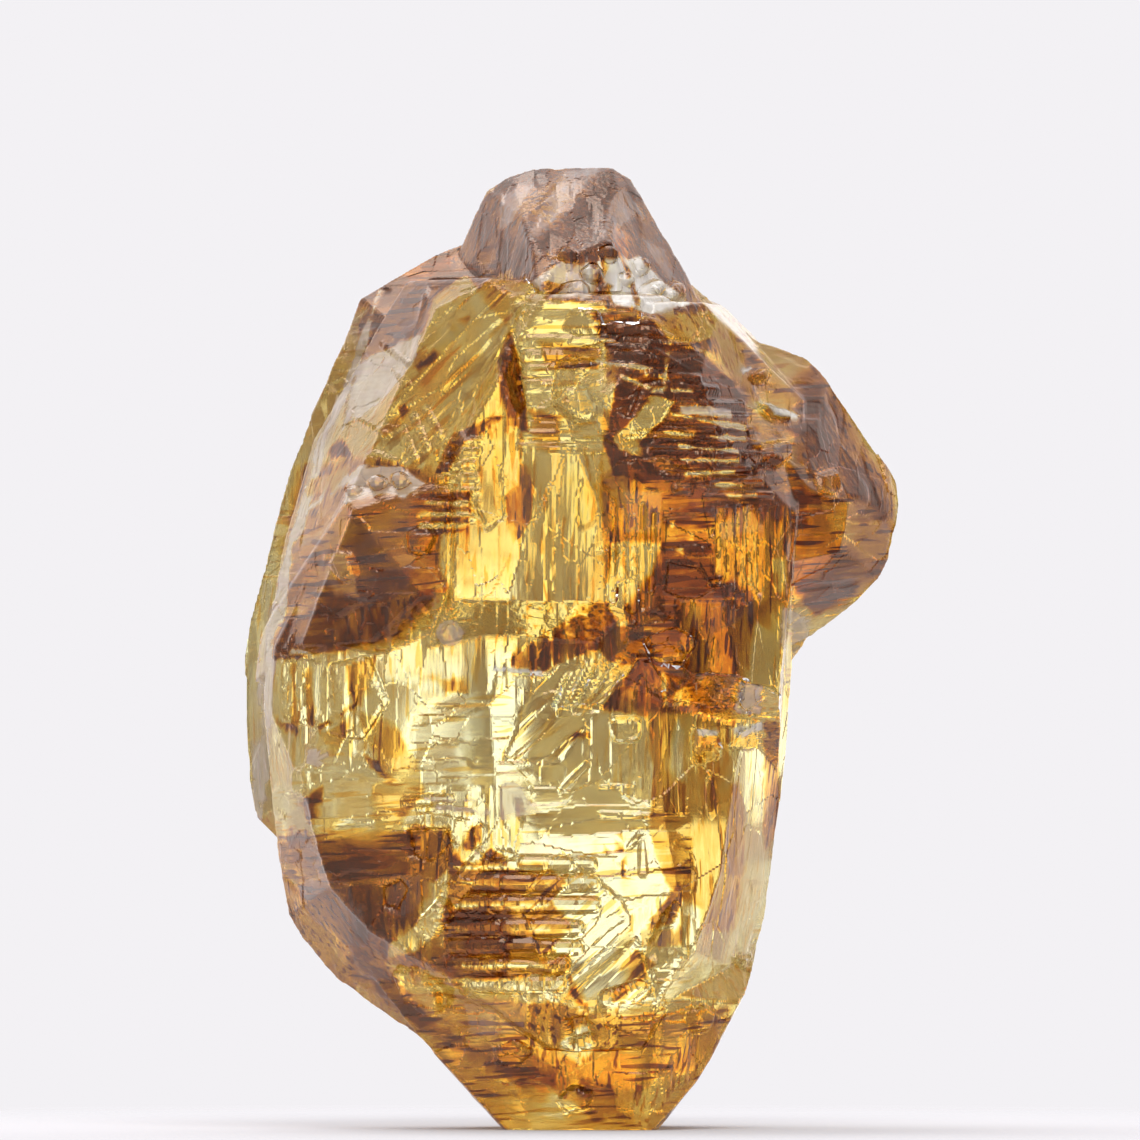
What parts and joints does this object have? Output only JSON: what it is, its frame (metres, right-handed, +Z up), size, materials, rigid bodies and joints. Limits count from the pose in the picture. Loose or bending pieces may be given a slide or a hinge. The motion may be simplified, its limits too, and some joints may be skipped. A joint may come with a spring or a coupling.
{
  "type": "rough diamond",
  "caption": "Rough, uncut diamond crystal in clear yellow-brown, with stepped faces, a blunt peak and a side lobe, standing on a small flat base.",
  "frame": {"origin": "under the middle of the crystal, level with the flat foot that it stands on", "axes": "+Z up along the crystal's long axis, -Y towards the broad front face, +X towards the side lobe"},
  "size_m": [0.0062, 0.0052, 0.009],
  "materials": {
    "diamond": "clear yellow-brown crystal, adamantine lustre, finely stepped growth faces"
  },
  "bodies": {
    "root": {"rough_diamond": "diamond"}
  },
  "joints": []
}
